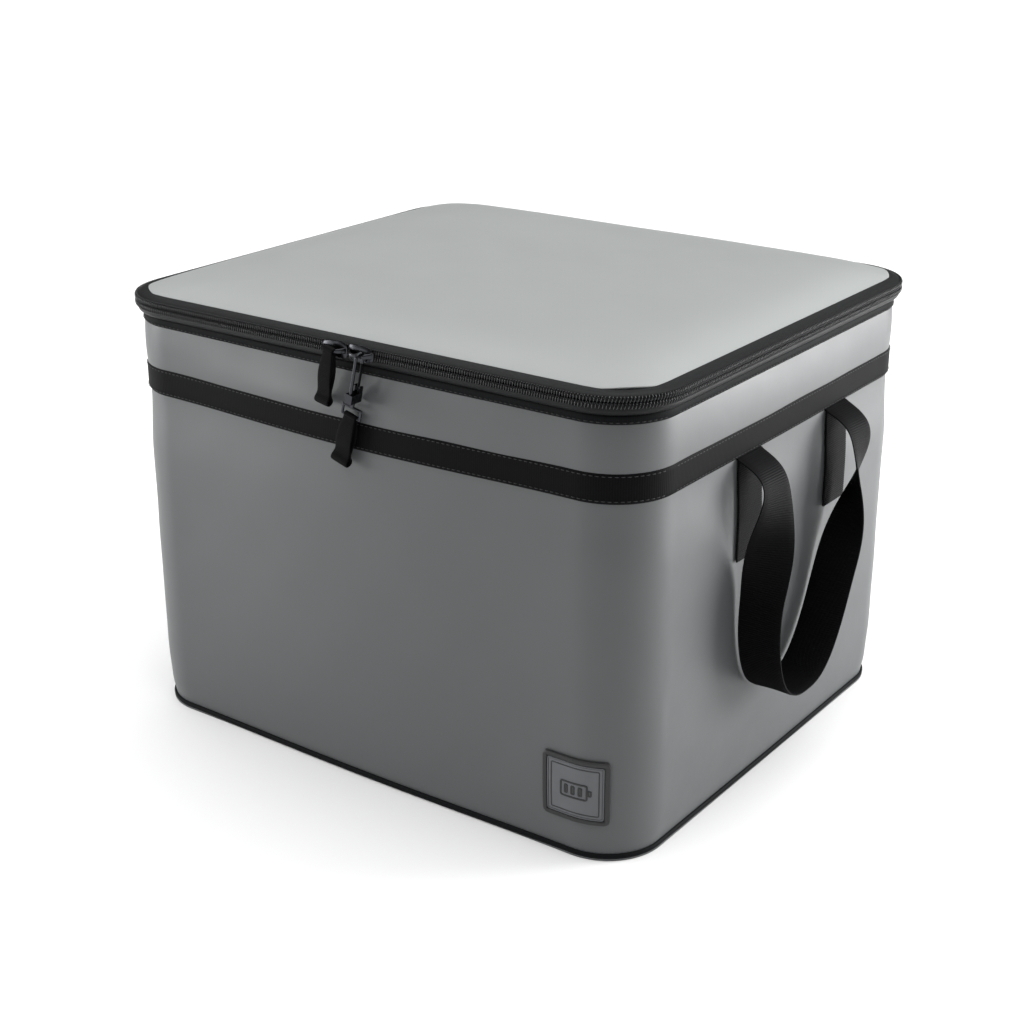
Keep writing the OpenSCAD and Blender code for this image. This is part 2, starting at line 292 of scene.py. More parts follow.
def arc_lengths(points, closed):
    """Distance along a row of points, with the closing step added when it is a loop."""
    loop = np.concatenate([points, points[:1]]) if closed else points
    return np.concatenate([[0], np.cumsum(np.linalg.norm(np.diff(loop, axis=0), axis=1))])


def along_path(wanted, far, path):
    """The points of a path at the wanted distances, where far holds its own distances."""
    return np.stack([np.interp(wanted, far, column) for column in path.T], -1)


def resample(points, count, closed=False):
    """Points at even distances along a path, and those distances."""
    far = arc_lengths(points, closed)
    loop = np.concatenate([points, points[:1]]) if closed else points
    wanted = np.linspace(0, far[-1], count, endpoint=not closed)
    return along_path(wanted, far, loop), wanted


def smooth_path(points, count, closed=False):
    """A Catmull-Rom curve through the points, resampled at even distances."""
    p = np.asarray(points, float)
    if closed:
        p = np.concatenate([p[-1:], p, p[:2]])
    else:
        p = np.concatenate([2 * p[:1] - p[1:2], p, 2 * p[-1:] - p[-2:-1]])
    t = np.linspace(0, 1, 16, endpoint=False)[:, None]
    parts = []
    for a, b, c, d in zip(p[:-3], p[1:-2], p[2:-1], p[3:]):
        parts.append(0.5 * (2 * b + (c - a) * t + (2 * a - 5 * b + 4 * c - d) * t ** 2
                            + (3 * b - a - 3 * c + d) * t ** 3))
    dense = np.concatenate(parts if closed else parts + [p[-2:-1]])
    return resample(dense, count, closed)[0]


def thick_line(line, thickness):
    """The closed outline of a thin layer: a line in the plane, shifted half its thickness
    to each side along its normals, with the two sides joined at rounded ends."""
    line = np.asarray(line, float)
    normal = right_of(np.gradient(line, axis=0))
    taper = np.ones(len(line))
    taper[[0, -1]] = 0.45
    shift = normal * (thickness / 2 * taper)[:, None]
    return np.concatenate([line + shift, (line - shift)[::-1]])


def ripple(a, b, seed):
    """Soft unevenness of a sewn wall: a sum of sine waves 40 to 140 mm long, with seeded
    lengths, headings and phases, scaled to lie between -1 and 1."""
    waves, low, high = 7, 40.0, 140.0
    rng = np.random.default_rng(seed)
    total = np.zeros(np.broadcast(a, b).shape)
    for _ in range(waves):
        size = rng.uniform(low, high)
        heading = rng.uniform(0, 2 * math.pi)
        phase = rng.uniform(0, 2 * math.pi)
        reach = (a * math.cos(heading) + b * math.sin(heading)) * 2 * math.pi / size
        total += np.sin(reach + phase)
    return total / waves


def ease(t):
    """0 below 0, 1 above 1 and 3t^2 - 2t^3 between."""
    t = np.clip(t, 0, 1)
    return t * t * (3 - 2 * t)


def band_round(name, line, thickness, finish, body, node_names, bow=0.0, back=True):
    """A layer carried round the body: its section is a thin line of (out, height) points.
    bow is the share of the wall's bow that each point takes."""
    outline = Outline(back=back)
    section = thick_line(line, thickness)
    share = np.broadcast_to(bow, (len(line),))
    share = np.concatenate([share, share[::-1]])
    grid = outline.at(section[:, 0], section[:, 1], share)
    piece = grid_mesh(name, grid, wrap_u=outline.closed, wrap_v=True, along=outline.along,
                      across=arc_lengths(section, True), caps=not outline.closed, sharp=50)
    return dress(piece, finish, body, node_names)


def dress(piece, finish, body=None, node_names=()):
    """Gives a piece its material, the body it rides on and the CAD nodes it stands for."""
    piece.data.materials.clear()
    piece.data.materials.append(finish)
    if body:
        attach(piece, body)
    if node_names:
        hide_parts(*node_names)
    return piece


def thicken(piece, name, thickness_mm):
    """Gives a single sheet of cloth its thickness, behind its face."""
    thick = piece.modifiers.new(name, "SOLIDIFY")
    thick.thickness = thickness_mm * MM
    thick.offset = -1


def quilting(a, b):
    """The swell of a quilted square, 0 at its seams and 1 in its middle: the square root
    of |sin a| |sin b|, with half a wave across each square."""
    side = mm(sizes().quilt)
    return np.sqrt(np.abs(np.sin(math.pi * a / side) * np.sin(math.pi * b / side)))


def bow_share(z):
    """Share of the wall's full swell at a height: a third at the base, all of it at the
    waist, and a sixth at the stiff zip."""
    rise = 0.35 + 0.65 * ease(np.asarray(z, float) / 110.0)
    fall = 1 - 0.85 * ease((np.asarray(z, float) - BAND_Z1) / (WALL_TOP - BAND_Z1))
    return rise * fall


def puff(z):
    """Swell of the padded wall all round, in millimetres: it rises from the base binding
    and is drawn in again under the waist band."""
    z = np.asarray(z, float)
    return 1.9 * ease(z / 50) * (1 - ease((z - BAND_Z0 + 46) / 44))


# Materials ----------------------------------------------------------------------------
def linear(code):
    """A linear colour from an sRGB hex value."""
    parts = [int(code[i:i + 2], 16) / 255 for i in (1, 3, 5)]
    curve = [c / 12.92 if c <= 0.04045 else ((c + 0.055) / 1.055) ** 2.4 for c in parts]
    return tuple(curve) + (1.0,)


def tinted(base, factor, add=0.0):
    """A linear colour made lighter or darker."""
    return tuple(min(1, c * factor + add) for c in base[:3]) + (1.0,)


def put(tree, kind, sockets=None, **settings):
    """Adds a node with its settings, and sets or links the sockets named or numbered."""
    made = tree.nodes.new(kind)
    for key, value in settings.items():
        setattr(made, key, value)
    for key, value in (sockets or {}).items():
        if isinstance(value, bpy.types.NodeSocket):
            tree.links.new(value, made.inputs[key])
        else:
            made.inputs[key].default_value = value
    return made


def new_material(name):
    """An empty node material and its Principled shader."""
    material = bpy.data.materials.new(name)
    material.use_nodes = True
    return material, material.node_tree, material.node_tree.nodes["Principled BSDF"]


def set_shader(shader, **values):
    """Sets the shader's own sockets, named with _ for a space."""
    for key, value in values.items():
        shader.inputs[key.replace("_", " ")].default_value = value


def paint(tree, shader, factor, first, second):
    """Colours the surface between two colours, by a factor socket."""
    mixed = put(tree, "ShaderNodeMix", {0: factor, 6: first, 7: second}, data_type="RGBA")
    tree.links.new(mixed.outputs[2], shader.inputs["Base Color"])


def vary_roughness(tree, shader, value, low, high):
    """Lets the roughness run between two values with a socket that runs from 0 to 1."""
    rough = put(tree, "ShaderNodeMapRange", {"Value": value, "To Min": low, "To Max": high})
    tree.links.new(rough.outputs["Result"], shader.inputs["Roughness"])


def object_place(tree):
    """Object coordinates, for a pattern fixed to the piece."""
    return put(tree, "ShaderNodeTexCoord").outputs["Object"]


def cloth_axes(tree):
    """The distances along and across a woven piece, from its UV map."""
    uv = put(tree, "ShaderNodeUVMap", uv_map="UVMap").outputs["UV"]
    parts = put(tree, "ShaderNodeSeparateXYZ", {"Vector": uv})
    return parts.outputs[0], parts.outputs[1]


def noise(tree, place, size_mm, detail=2.0, rough=0.5):
    """A noise whose features measure about size_mm."""
    return put(tree, "ShaderNodeTexNoise", {"Vector": place, "Scale": 1 / (size_mm * MM),
                                            "Detail": detail, "Roughness": rough}).outputs["Fac"]


def maths(tree, operation, first, second=0.0):
    """The result of one sum on two values or sockets."""
    return put(tree, "ShaderNodeMath", {0: first, 1: second}, operation=operation).outputs[0]


def wave(tree, axis, period_mm):
    """A sine wave along an axis, one crest every period_mm."""
    return maths(tree, "SINE", maths(tree, "MULTIPLY", axis, 2 * math.pi / (period_mm * MM)))


def chequer(tree, period_mm):
    """The height of a plain weave, 0 to 1: a wave along times a wave across."""
    along, across = cloth_axes(tree)
    weave = maths(tree, "MULTIPLY", wave(tree, along, period_mm), wave(tree, across, period_mm))
    limits = {"Value": weave, "From Min": -1.0, "From Max": 1.0}
    return put(tree, "ShaderNodeMapRange", limits).outputs["Result"]


def bump(tree, shader, height, depth_mm, before=None):
    """Raises the surface by a height socket, to a real depth in millimetres."""
    sockets = {"Height": height, "Distance": depth_mm * MM, "Strength": 1.0}
    if before is not None:
        sockets["Normal"] = before
    made = put(tree, "ShaderNodeBump", sockets).outputs["Normal"]
    tree.links.new(made, shader.inputs["Normal"])
    return made


def coated_fabric(name, code):
    """PVC-coated polyester tarpaulin, calendered smooth: the woven yarn shows through the
    coat as a very fine grain, and the coat gives a broad satin shine."""
    material, tree, shader = new_material(name)
    place = object_place(tree)
    base = linear(code)
    paint(tree, shader, noise(tree, place, 60, 3), tinted(base, 0.93), base)
    vary_roughness(tree, shader, noise(tree, place, 25, 3), 0.40, 0.50)
    set_shader(shader, Specular_IOR_Level=0.38, Coat_Weight=0.06, Coat_Roughness=0.3)
    # The yarn is 0.5 mm; it is drawn at 0.9 mm so that it shows.
    first = bump(tree, shader, noise(tree, place, 0.9, 2), 0.02)
    bump(tree, shader, noise(tree, place, 14, 2), 0.10, before=first)
    return material


def ribbed_webbing(name, code, pitch_mm, depth_mm=0.12):
    """Woven nylon webbing: thick weft ribs across its width, with the warp yarns showing as fine
    breaks in each rib and a dull surface; its crests are painted lighter than its grooves, a
    painted highlight on the crests and painted shade in the grooves."""
    material, tree, shader = new_material(name)
    along, across = cloth_axes(tree)
    yarn_share = 0.35
    yarn = maths(tree, "MULTIPLY", wave(tree, across, pitch_mm / 1.9), yarn_share)
    weave = maths(tree, "ADD", wave(tree, along, pitch_mm), yarn)
    limits = {"Value": weave, "From Min": -1 - yarn_share, "From Max": 1 + yarn_share}
    height = put(tree, "ShaderNodeMapRange", limits).outputs["Result"]
    base = linear(code)
    # Painted highlight on the rib crests and painted shade in the grooves: the colour follows the
    # weave's height.
    paint(tree, shader, height, base, tinted(base, 2.0, 0.0008))
    set_shader(shader, Roughness=0.6, Specular_IOR_Level=0.05)
    bump(tree, shader, height, depth_mm)
    return material


def woven_tape(name, code):
    """Plain-woven polyester tape: a fine chequer of yarns, drawn to repeat every 0.9 mm."""
    material, tree, shader = new_material(name)
    height = chequer(tree, 0.9)
    base = linear(code)
    # Painted highlight on the yarns' crests and painted shade between them: the colour follows the
    # weave's height.
    paint(tree, shader, height, base, tinted(base, 2.0, 0.0008))
    set_shader(shader, Roughness=0.45, Specular_IOR_Level=0.16)
    bump(tree, shader, height, 0.08)
    return material


def moulded(name, code, roughness, grain_mm=0.6, depth_mm=0.01):
    """A moulded plastic or rubber with a faint even grain."""
    material, tree, shader = new_material(name)
    place = object_place(tree)
    base = linear(code)
    paint(tree, shader, noise(tree, place, 9, 2), base, tinted(base, 1.25, 0.002))
    set_shader(shader, Roughness=roughness, IOR=1.5)
    bump(tree, shader, noise(tree, place, grain_mm, 2), depth_mm)
    return material


def plated_metal(name, code, roughness):
    """Zinc alloy, die-cast, tumbled and plated dark: an uneven shine and faint pits."""
    material, tree, shader = new_material(name)
    place = object_place(tree)
    base = linear(code)
    wear = noise(tree, place, 2.5, 4)
    paint(tree, shader, wear, tinted(base, 0.7), base)
    vary_roughness(tree, shader, wear, roughness * 0.8, roughness * 1.3)
    set_shader(shader, Metallic=1.0)
    bump(tree, shader, noise(tree, place, 0.4, 2), 0.004)
    return material


def glass_cloth(name, code):
    """Woven glass-fibre cloth with a silvery coat: flat yarns 1.2 mm wide that catch light."""
    material, tree, shader = new_material(name)
    height = chequer(tree, 2 * 1.2)
    base = linear(code)
    # Painted shade in the weave's hollows: the colour darkens where the weave is low.
    paint(tree, shader, height, tinted(base, 0.72), base)
    set_shader(shader, Roughness=0.38, Metallic=0.35)
    bump(tree, shader, height, 0.10)
    return material


def open_foam(name, code):
    """Fire-resistant foam: open cells about 1.2 mm across, dull."""
    material, tree, shader = new_material(name)
    sockets = {"Vector": object_place(tree), "Scale": 1 / (1.2 * MM)}
    cells = put(tree, "ShaderNodeTexVoronoi", sockets).outputs["Distance"]
    base = linear(code)
    # Painted shade in the open cells: the colour darkens towards each cell's sunken middle.
    paint(tree, shader, cells, tinted(base, 0.5), base)
    set_shader(shader, Roughness=0.9)
    bump(tree, shader, cells, 0.3)
    return material


def pressed_board(name, code):
    """Pressed fibreboard: flecks of fibre, matte."""
    material, tree, shader = new_material(name)
    flecks = noise(tree, object_place(tree), 1.5, 6, 0.8)
    base = linear(code)
    paint(tree, shader, flecks, tinted(base, 0.55), base)
    set_shader(shader, Roughness=0.85)
    bump(tree, shader, flecks, 0.05)
    return material


# The materials made so far, and the rib pitch of the pulls' webbing in millimetres.
MADE = {}
PULL_RIB = 1.1


def material(key):
    """Each material is made once, from the colours in the panel."""
    colours = bpy.context.scene.bag_colours
    pitch = mm(sizes().rib_pitch)
    makers = {
        "fabric": lambda: coated_fabric("pvc_coated_fabric_grey", colours.fabric),
        # The lid's material is a lighter copy of the wall fabric: painted top light.
        "lid": lambda: coated_fabric("pvc_coated_fabric_painted_toplight", colours.lid),
        "webbing": lambda: ribbed_webbing("nylon_webbing_ribbed", colours.webbing, pitch),
        "band": lambda: ribbed_webbing("grosgrain_band", colours.webbing, pitch, 0.06),
        "pull": lambda: ribbed_webbing("nylon_pull_webbing", colours.webbing, PULL_RIB, 0.08),
        "tape": lambda: woven_tape("polyester_zip_tape", colours.tape),
        "binding": lambda: ribbed_webbing("binding_tape", colours.tape, 1.2, 0.05),
        "thread": lambda: moulded("polyester_thread", colours.coil, 0.6),
        "coil": lambda: moulded("nylon_coil", colours.coil, 0.2),
        "gunmetal": lambda: plated_metal("gunmetal_plated_zinc", colours.gunmetal, 0.24),
        "black_metal": lambda: plated_metal("black_plated_zinc", colours.coil, 0.35),
        "lining": lambda: glass_cloth("glass_fibre_cloth", colours.lining),
        "foam": lambda: open_foam("fire_resistant_foam", colours.foam),
        "board": lambda: pressed_board("pressed_fibreboard", colours.board),
        "rubber": lambda: moulded("moulded_rubber_black", colours.rubber, 0.5, 0.5, 0.02),
        "badge": lambda: moulded("moulded_rubber_grey", colours.badge, 0.45, 0.4, 0.03),
    }
    if key not in MADE:
        MADE[key] = makers[key]()
    return MADE[key]


# Walls --------------------------------------------------------------------------------
def wall_shell(name, z0, z1, swell, tuck, seed, node_names, rows):
    """A padded fabric wall: its outer face stands out by the wall's bow, a parabola of
    swell over its height and a soft ripple, its lower edge tucks in, and the same line set
    in by the fabric's thickness closes it inside."""
    outline = Outline()
    z = np.linspace(z0, z1, rows)
    t = (z - z0) / (z1 - z0)
    out = swell * 4 * t * (1 - t) - tuck * (1 - ease((z - z0) / TUCK_HEIGHT)) + puff(z)
    s = outline.along[:len(outline.place), None]
    level = 0.45 * ripple(s, z[None, :], seed) * ease(t * 6) * ease((1 - t) * 6)
    outer = outline.at(out, z, bow_share(z))
    outer[..., :2] += outline.normal[:, None, :] * level[..., None]
    inner = outline.at(out - FABRIC_THICK, z, bow_share(z))[:, ::-1]
    grid = np.concatenate([outer, inner], 1)
    section = np.stack([np.concatenate([out, out[::-1] - FABRIC_THICK]),
                        np.concatenate([z, z[::-1]])], 1)
    piece = grid_mesh(name, grid, wrap_u=True, wrap_v=True, along=outline.along,
                      across=arc_lengths(section, True))
    dress(piece, material("fabric"), "bag", node_names)


class BAG_OT_walls(bpy.types.Operator):
    """Build the padded main wall and the collar wall above the waist"""
    bl_idname = "bag.walls"
    bl_label = "Walls"

    def execute(self, context):
        seam = (BAND_Z0 + BAND_Z1) / 2
        wall_shell("main_wall_fabric", 1.6, seam, swell=0.0, tuck=1.6, seed=3,
                   node_names=["main_wall"], rows=70)
        wall_shell("collar_fabric", seam, WALL_TOP, swell=1.5, tuck=0.0, seed=5,
                   node_names=["collar_wall"], rows=18)
        return {"FINISHED"}


# A stitch's spacing, length and distance out from the wall, in millimetres.
STITCH = {"pitch": 3.6, "long": 2.4, "out": 1.55}


def stitch_row(name, z):
    """A row of thread stitches round the bag: bars of five rings of six points, thinner
    at their ends, in a line with gaps."""
    outline = Outline()
    pitch = STITCH["pitch"]
    far = outline.along[:len(outline.place)]
    where = np.arange(pitch, far[-1] - pitch, pitch)
    ends = np.linspace(-0.5, 0.5, 5) * STITCH["long"]
    s = where[:, None] + ends[None, :]
    mid = along_path(s, far, outline.at(STITCH["out"], z, bow_share(z))[:, 0, :])
    normal = along_path(s, far, outline.normal)
    lift = np.array([0.05, 0.22, 0.28, 0.22, 0.05])
    size = np.array([0.08, 0.24, 0.26, 0.24, 0.08])
    angle = np.linspace(0, 2 * math.pi, 6, endpoint=False)
    sideways = np.cos(angle)[None, None, :] * size[None, :, None]
    upwards = np.sin(angle)[None, None, :] * size[None, :, None]
    reach = (lift[None, :, None] + sideways)[..., None]
    flat = mid[:, :, None, :2] + normal[:, :, None, :] * reach
    high = mid[:, :, None, 2] + upwards
    verts = np.concatenate([flat, high[..., None]], -1)
    count = len(where)
    i, j, k = np.meshgrid(np.arange(count), np.arange(4), np.arange(6), indexing="ij")
    a = (i * 5 + j) * 6
    after = (k + 1) % 6
    quads = np.stack([a + k, a + 6 + k, a + 6 + after, a + after], -1).reshape(-1, 4).tolist()
    first = np.arange(count)[:, None] * 30 + np.arange(6)[None, :]
    quads += first.tolist() + (first[:, ::-1] + 24).tolist()
    mesh = bpy.data.meshes.new(name)
    mesh.from_pydata((verts.reshape(-1, 3) * MM).tolist(), [], quads)
    piece = finish_mesh(add_object(name, mesh), True)
    return dress(piece, material("thread"), "bag")


class BAG_OT_bands(bpy.types.Operator):
    """Build the waist band, the base binding and the binding under the zip, with stitches"""
    bl_idname = "bag.bands"
    bl_label = "Bands and bindings"

    def execute(self, context):
        z = np.linspace(BAND_Z0, BAND_Z1, 15)
        t = np.linspace(-1, 1, 15)
        line = np.stack([1.0 - 0.8 * np.abs(t) ** 10, z], 1)
        band_round("waist_band_webbing", line, 1.1, material("band"), "bag", ["waist_band"],
                   bow_share(z))
        low = smooth_path([[-3.4, 0.4], [-1.2, 0.5], [-0.5, 1.3], [-0.3, 2.4], [-0.5, 3.4],
                           [-1.4, 4.0]], 14)
        band_round("base_binding_tape", low, 1.0, material("binding"), "bag", ["base_binding"],
                   bow_share(low[:, 1]))
        top = WALL_TOP
        high = smooth_path([[0.1, top - 5.6], [0.9, top - 5.0], [1.2, top - 3.0],
                            [1.1, top - 1.0], [0.6, top + 0.1]], 12)
        band_round("collar_binding_tape", high, 0.8, material("binding"), "bag", ["collar_binding"],
                   bow_share(high[:, 1]))
        stitch_row("waist_stitches_low", BAND_Z0 + 2.0)
        stitch_row("waist_stitches_high", BAND_Z1 - 2.0)
        stitch_row("collar_stitches", top - 4.2)
        return {"FINISHED"}


# Zip ----------------------------------------------------------------------------------
TAPE_OUT = ZIP_OUT - 0.8


def lower_tape_line():
    """The lower tape: sewn to the wall's top, out in a quarter bend, then upright."""
    top = WALL_TOP
    return smooth_path([[-0.8, top + 0.3], [1.4, top + 0.5], [3.2, top + 1.4], [4.3, top + 2.8],
                        [TAPE_OUT, top + 4.4], [TAPE_OUT, ZIP_Z - 0.4]], 22)


def upper_tape_line():
    """The upper tape: upright behind its coil, then rolled inwards over the lid's edge."""
    return smooth_path([[TAPE_OUT, ZIP_Z + 0.4], [TAPE_OUT, ZIP_Z + 2.0], [4.2, ZIP_Z + 3.3],
                        [2.8, ZIP_Z + 4.2], [0.4, ZIP_Z + 4.7], [-4.6, ZIP_Z + 5.1]], 22)


def coil(name, centre_z, phase, body, node_name):
    """One row of a nylon coil: a helix whose centre line is the zip's path and whose
    section is an oval, one turn a pitch, with a thin five-sided wire swept along it."""
    outline = Outline(step=1.5, arc_step=1.5, back=False)
    pitch = mm(sizes().coil_pitch)
    far = outline.along
    samples = int(far[-1] / pitch * 10)
    s = np.linspace(0, far[-1], samples)
    turn = 2 * math.pi * s / pitch + phase
    base = along_path(s, far, outline.place)
    normal = along_path(s, far, outline.normal)
    wire = 0.36
    out = ZIP_OUT + (COIL_R - wire) * np.cos(turn)
    height = centre_z + 1.72 * np.sin(turn)
    path = np.concatenate([base + normal * out[:, None], height[:, None]], 1)
    middle = np.concatenate([base + normal * ZIP_OUT, np.full((samples, 1), centre_z)], 1)
    along = unit(np.gradient(path, axis=0))
    side = square_to(path - middle, along)
    other = np.cross(along, side)
    angle = np.linspace(0, 2 * math.pi, 5, endpoint=False)
    grid = (path[:, None, :] + wire * (np.cos(angle)[None, :, None] * side[:, None, :]
                                       + np.sin(angle)[None, :, None] * other[:, None, :]))
    piece = grid_mesh(name, grid, wrap_v=True, caps=True, sharp=80)
    return dress(piece, material("coil"), body, [node_name])


class BAG_OT_zip(bpy.types.Operator):
    """Build both zip tapes, both coil rows and the fabric hinge"""
    bl_idname = "bag.zip"
    bl_label = "Zip"

    def execute(self, context):
        lower, upper = lower_tape_line(), upper_tape_line()
        band_round("lower_tape_woven", lower, 0.7, material("tape"), "bag", ["lower_zip_tape"],
                   back=False)
        band_round("upper_tape_woven", upper, 0.7, material("tape"), "lid", ["upper_zip_tape"],
                   back=False)
        spread = COIL_R + 0.7
        coil("lower_coil_turns", ZIP_Z - spread, 0.0, "bag", "lower_zip_coil")
        coil("upper_coil_turns", ZIP_Z + spread, math.pi, "lid", "upper_zip_coil")
        self.hinge(lower, upper)
        return {"FINISHED"}

    def hinge(self, lower, upper):
        """The hinge is the two tapes joined into one strip across the back."""
        middle = np.array([[TAPE_OUT, ZIP_Z + h] for h in np.linspace(-0.3, 0.3, 5)])
        line = np.concatenate([lower, middle, upper])
        section = thick_line(line, 0.8)
        half = HALF_W - mm(sizes().corner)
        x = np.linspace(-half, half, 84)
        grid = np.zeros((len(x), len(section), 3))
        grid[..., 0] = x[:, None]
        grid[..., 1] = HALF_D + section[None, :, 0]
        grid[..., 2] = section[None, :, 1]
        piece = grid_mesh("hinge_strip_webbing", grid, wrap_v=True, caps=True,
                          along=x, across=arc_lengths(section, True))
        dress(piece, material("binding"), None, ["hinge_tape_lower", "hinge_tape_upper"])
        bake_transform(piece)


# Lid ----------------------------------------------------------------------------------
def lid_surface(first_inset, rings, height_of):
    """A sheet over the body's plan: the outline set in by first_inset and shrunk ring by
    ring towards the centre, with its height from the distance to the edge, then evened
    out ten times towards the mean of its neighbours."""
    outline = Outline(step=5.0, arc_step=4.0)
    edge = outline.place - outline.normal * first_inset
    share = np.linspace(0, 1, rings + 1)[:-1] ** 1.6
    flat = edge[:, None, :] * (1 - share)[None, :, None]
    radius = mm(sizes().corner)
    beyond = np.abs(flat) - np.array([HALF_W - radius, HALF_D - radius])
    outside = np.linalg.norm(np.maximum(beyond, 0), axis=2)
    inset = radius - outside - np.minimum(beyond.max(axis=2), 0)
    z = height_of(inset, flat)
    for _ in range(10):
        z[:, 1:-1] += 0.25 * (z[:, :-2] + z[:, 2:] - 2 * z[:, 1:-1])
        z[:, 2:] += 0.25 * (np.roll(z, 1, 0) + np.roll(z, -1, 0) - 2 * z)[:, 2:]
    grid = np.concatenate([flat, z[..., None]], 2)
    pole = np.array([0.0, 0.0, z[:, -1].mean()])
    return outline, grid, pole


class BAG_OT_lid(bpy.types.Operator):
    """Build the crowned lid panel, its quilted lining and its inner edge binding"""
    bl_idname = "bag.lid"
    bl_label = "Lid"

    def execute(self, context):
        edge_z = ZIP_Z + 4.3
        rise, run = mm(sizes().crown), mm(sizes().crown_run)

        def crown(inset, flat):
            """Edge height plus the crown's rise times 1 - exp(-distance / run), taken from the
            nearer side wall and from the nearer of front and back and multiplied, with ripple."""
            soft = 0.35 * ripple(flat[..., 0], flat[..., 1], 11) * ease(inset / 30)
            away = np.maximum(np.array([HALF_W, HALF_D]) - np.abs(flat) - 3, 0)
            return edge_z + rise * np.prod(1 - np.exp(-away / run), axis=2) + soft

        rings = 46
        outline, grid, pole = lid_surface(3.0, rings, crown)
        piece = grid_mesh("lid_panel_fabric", grid, wrap_u=True, pole=pole,
                          along=outline.along, across=np.arange(rings + 1.0) * 4)
        thicken(piece, "fabric_thickness", FABRIC_THICK)
        # The lid panel takes the lighter copy of the wall fabric, painted top light.
        dress(piece, material("lid"), "lid", ["lid_panel"])
        self.lining()
        return {"FINISHED"}

    def lining(self):
        """The lid's lining: a level sheet that sags a little between its quilting lines,
        and the binding round its edge."""
        under = node_box("lid_lining")[0][2]
        outline = Outline(step=5.0, arc_step=4.0)
        edge = outline.place - outline.normal * 8.6
        rings = 70
        share = np.linspace(0, 1, rings + 1)[:-1]
        flat = edge[:, None, :] * (1 - share)[None, :, None]
        inset = -(np.abs(flat) - np.array([HALF_W, HALF_D])).max(axis=2)
        z = under + 0.9 - 1.6 * quilting(flat[..., 0], flat[..., 1]) * ease((inset - 9) / 12)
        grid = np.concatenate([flat, z[..., None]], 2)
        pole = np.array([0, 0, z[:, -1].mean()])
        piece = grid_mesh("lid_lining_quilted", grid, wrap_u=True, pole=pole,
                          along=outline.along, across=np.arange(rings + 1.0) * 2.6)
        piece.data.flip_normals()
        thicken(piece, "cloth_thickness", 0.6)
        dress(piece, material("lining"), "lid", ["lid_lining"])
        low, high = node_box("lid_edge_binding")
        line = smooth_path([[-10.6, low[2] - 0.6], [-8.6, low[2] - 1.0], [-7.0, low[2] + 0.2],
                            [-6.8, low[2] + 3.0], [-7.0, high[2] + 1.0]], 16)
        band_round("lid_edge_binding_tape", line, 0.8, material("binding"), "lid",
                   ["lid_edge_binding"])


# Lining -------------------------------------------------------------------------------
class BAG_OT_lining(bpy.types.Operator):
    """Build the quilted glass-fibre lining of the walls and floor, and the mouth binding"""
    bl_idname = "bag.lining"
    bl_label = "Lining"

    def execute(self, context):
        face = node_box("wall_lining")[0][0] + HALF_W
        floor = node_box("floor_lining")[1][2]
        top = WALL_TOP - 0.5
        rows, corner = 76, 8
        outline = Outline(step=5.0, arc_step=3.6)
        down = np.linspace(top, floor + corner, rows)
        bend = np.linspace(0, math.pi / 2, 9)[1:]
        level = np.full(rows, face + 0.8)
        inset = np.concatenate([level, face + 0.8 + corner * (1 - np.cos(bend))])
        z = np.concatenate([down, floor + corner - corner * np.sin(bend)])
        calm = ease((z - floor - 6) / 10) * ease((top - 6 - z) / 16)
        swell = quilting(outline.along[:len(outline.place), None], (z - floor)[None, :])
        out = 0.5 - inset[None, :] - 1.4 * swell * calm[None, :]
        flat = outline.place[:, None, :] + outline.normal[:, None, :] * out[..., None]
        walls = np.concatenate([flat, np.broadcast_to(z, out.shape)[..., None]], 2)
        share = np.linspace(0, 1, 61)[1:-1]
        flat = walls[:, -1, None, :2] * (1 - share)[None, :, None]
        raised = floor + 0.2 + quilting(flat[..., 0], flat[..., 1])
        grid = np.concatenate([walls, np.concatenate([flat, raised[..., None]], 2)], 1)
        across = np.arange(grid.shape[1] + 1.0) * 3.7
        pole = np.array([0, 0, floor + 0.2])
        piece = grid_mesh("body_lining_quilted", grid, wrap_u=True, pole=pole,
                          along=outline.along, across=across)
        piece.data.flip_normals()
        thicken(piece, "cloth_thickness", 0.5)
        dress(piece, material("lining"), "bag", ["wall_lining", "floor_lining"])
        line = smooth_path([[-face - 1.6, WALL_TOP - 7], [-face - 1.7, WALL_TOP - 2],
                            [-face - 0.4, WALL_TOP + 0.7], [-face / 2, WALL_TOP + 0.9],
                            [-0.9, WALL_TOP + 0.4]], 20)
        band_round("mouth_binding_tape", line, 0.7, material("binding"), "bag", ["mouth_binding"])
        return {"FINISHED"}


# Handles ------------------------------------------------------------------------------
# The loop's height, middle and half width, lean forwards, stand-off, tuck at its foot,
# drop and superellipse power, and where each change along its depth starts and how far it
# runs, in millimetres.
HANDLE = {"top": BAND_Z0 - 1.0, "middle": 9.0, "half": 59.0, "shift": -23.0,
          "arch": 22.0, "tuck": 3.6, "drop": 167.0, "power": 2.6,
          "arch_run": 8.0, "tuck_start": 30.0, "turn_start": 10.0, "run": 90.0}


def handle_path(count):
    """The webbing's middle line: a superellipse U in the side wall's plane, leaning a
    little forwards, that arches out from the wall as 1 - exp(-(depth / 8)^1.2) and tucks
    back in towards its foot. Resampled at even distances."""
    h = HANDLE
    a = np.linspace(0, math.pi, 1601)
    fold = signed_power(np.cos(a), 2 / h["power"])
    depth = h["drop"] * np.sin(a) ** (2 / h["power"])
    x = (HALF_W + 0.7 + h["arch"] * (1 - np.exp(-(np.maximum(depth, 0) / h["arch_run"]) ** 1.2))
         - h["tuck"] * ease((depth - h["tuck_start"]) / h["run"]))
    y = h["middle"] - h["half"] * fold + h["shift"] * ease(depth / h["drop"])
    return resample(np.stack([x, y, h["top"] + 0.6 - depth], 1), count)


